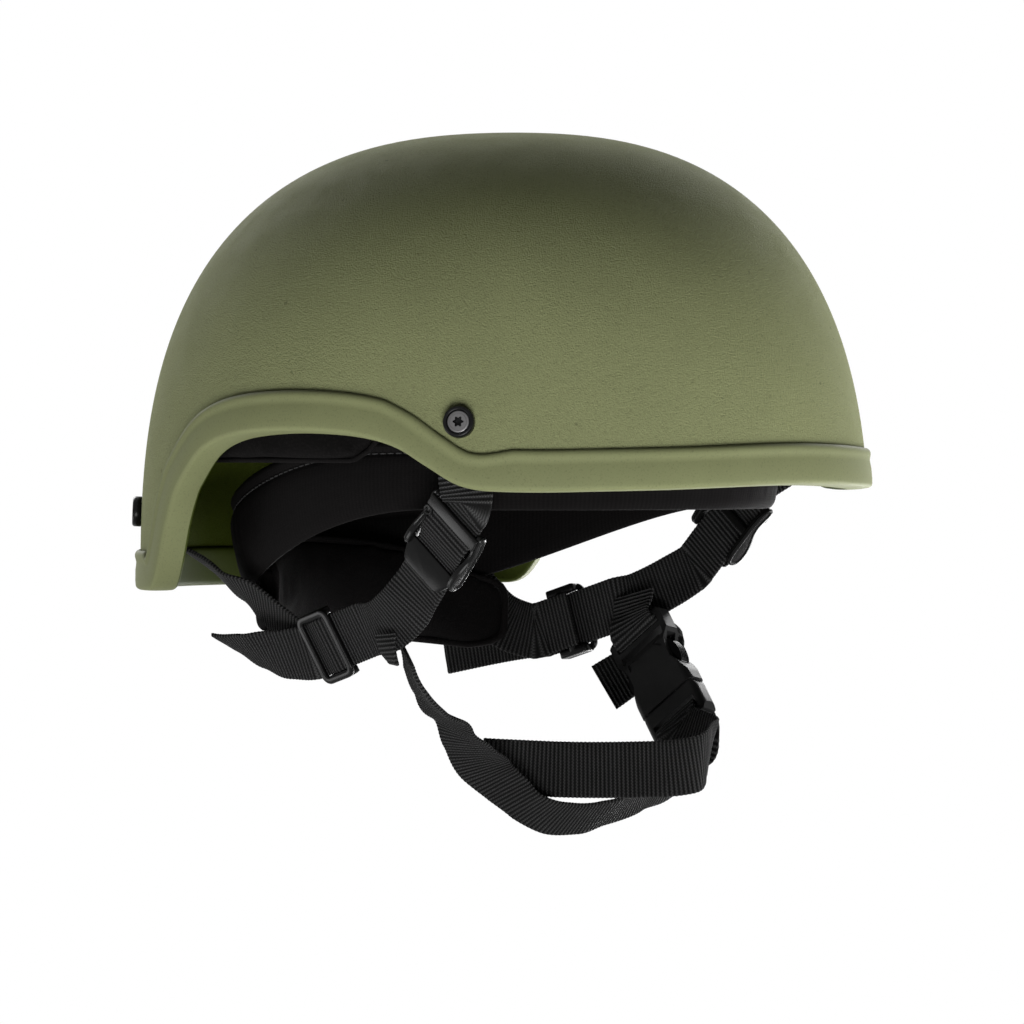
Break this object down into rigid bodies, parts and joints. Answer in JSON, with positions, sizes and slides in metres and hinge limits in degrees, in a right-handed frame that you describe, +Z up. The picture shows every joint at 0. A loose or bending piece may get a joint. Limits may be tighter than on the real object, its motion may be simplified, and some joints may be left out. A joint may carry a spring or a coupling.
{
  "type": "combat helmet",
  "caption": "Olive combat helmet with a textured composite shell, rubber edge trim, padded liner, four-point webbing harness and a side-release chin buckle.",
  "frame": {"origin": "centre of the head opening, level with the lower edge of the front brim, where the helmet sits on the head", "axes": "+Z up towards the crown, -Y the way the wearer faces, +X towards the wearer's left"},
  "size_m": [0.2404, 0.2744, 0.2504],
  "materials": {
    "shell_paint": "matte, gritty anti-glare coat",
    "trim_rubber": "matte",
    "black_plastic": "fine satin",
    "webbing": "ribbed nylon weave",
    "pad_fabric": "brushed loop cloth over foam",
    "screw_steel": "matte grey",
    "black_steel": "black oxide"
  },
  "bodies": {
    "helmet": {"shell": "shell_paint", "edge_trim": "trim_rubber", "temple_screws": "screw_steel", "rear_screws": "screw_steel", "screw_collars": "black_steel", "sleeve_nuts": "black_steel", "strap_eyelets": "black_steel", "hook_patches": "black_plastic", "crown_pad": "pad_fabric", "front_pad": "pad_fabric", "rear_pad": "pad_fabric", "right_side_pad": "pad_fabric", "left_side_pad": "pad_fabric", "headband": "pad_fabric", "nape_pad": "pad_fabric", "right_front_strap": "webbing", "left_front_strap": "webbing", "right_rear_strap": "webbing", "left_rear_strap": "webbing", "chin_strap": "webbing", "chin_strap_return": "webbing", "chin_strap_tab": "webbing", "buckle_strap": "webbing", "buckle_socket": "black_plastic"},
    "buckle_plug": {"buckle_plug": "black_plastic"},
    "front_prong": {"front_prong": "black_plastic"},
    "rear_prong": {"rear_prong": "black_plastic"},
    "right_adjuster": {"right_adjuster": "black_plastic"},
    "left_adjuster": {"left_adjuster": "black_plastic"},
    "right_slider": {"right_slider": "black_plastic"},
    "left_slider": {"left_slider": "black_plastic"}
  },
  "joints": [
    {"name": "buckle_release", "type": "slide", "parent": "helmet", "child": "buckle_plug", "axis": [-0.1636, -0.6257, -0.7627], "range_m": [0, 0.024], "deforming": ["chin_strap", "chin_strap_return", "front_prong", "rear_prong"]},
    {"name": "front_prong_press", "type": "hinge", "parent": "buckle_plug", "child": "front_prong", "pos_m": [0.07015, -0.0235, -0.07259], "axis": [-0.9812, 0.0233, 0.1914], "range_deg": [0, 8], "stiffness_Nm_per_rad": 0.05},
    {"name": "rear_prong_press", "type": "hinge", "parent": "buckle_plug", "child": "rear_prong", "pos_m": [0.06868, -0.01224, -0.08151], "axis": [0.9812, -0.0233, -0.1914], "range_deg": [0, 8], "stiffness_Nm_per_rad": 0.05},
    {"name": "right_adjuster_slide", "type": "slide", "parent": "helmet", "child": "right_adjuster", "axis": [0.1994, 0.6979, -0.6879], "range_m": [0, 0.008]},
    {"name": "left_adjuster_slide", "type": "slide", "parent": "helmet", "child": "left_adjuster", "axis": [-0.1202, 0.6311, -0.7663], "range_m": [0, 0.008]},
    {"name": "right_slider_shift", "type": "slide", "parent": "helmet", "child": "right_slider", "axis": [0.1502, 0.951, -0.2703], "range_m": [-0.01, 0], "deforming": ["right_rear_strap"]},
    {"name": "left_slider_shift", "type": "slide", "parent": "helmet", "child": "left_slider", "axis": [-0.1196, 0.9467, -0.299], "range_m": [-0.01, 0], "deforming": ["left_rear_strap"]}
  ]
}
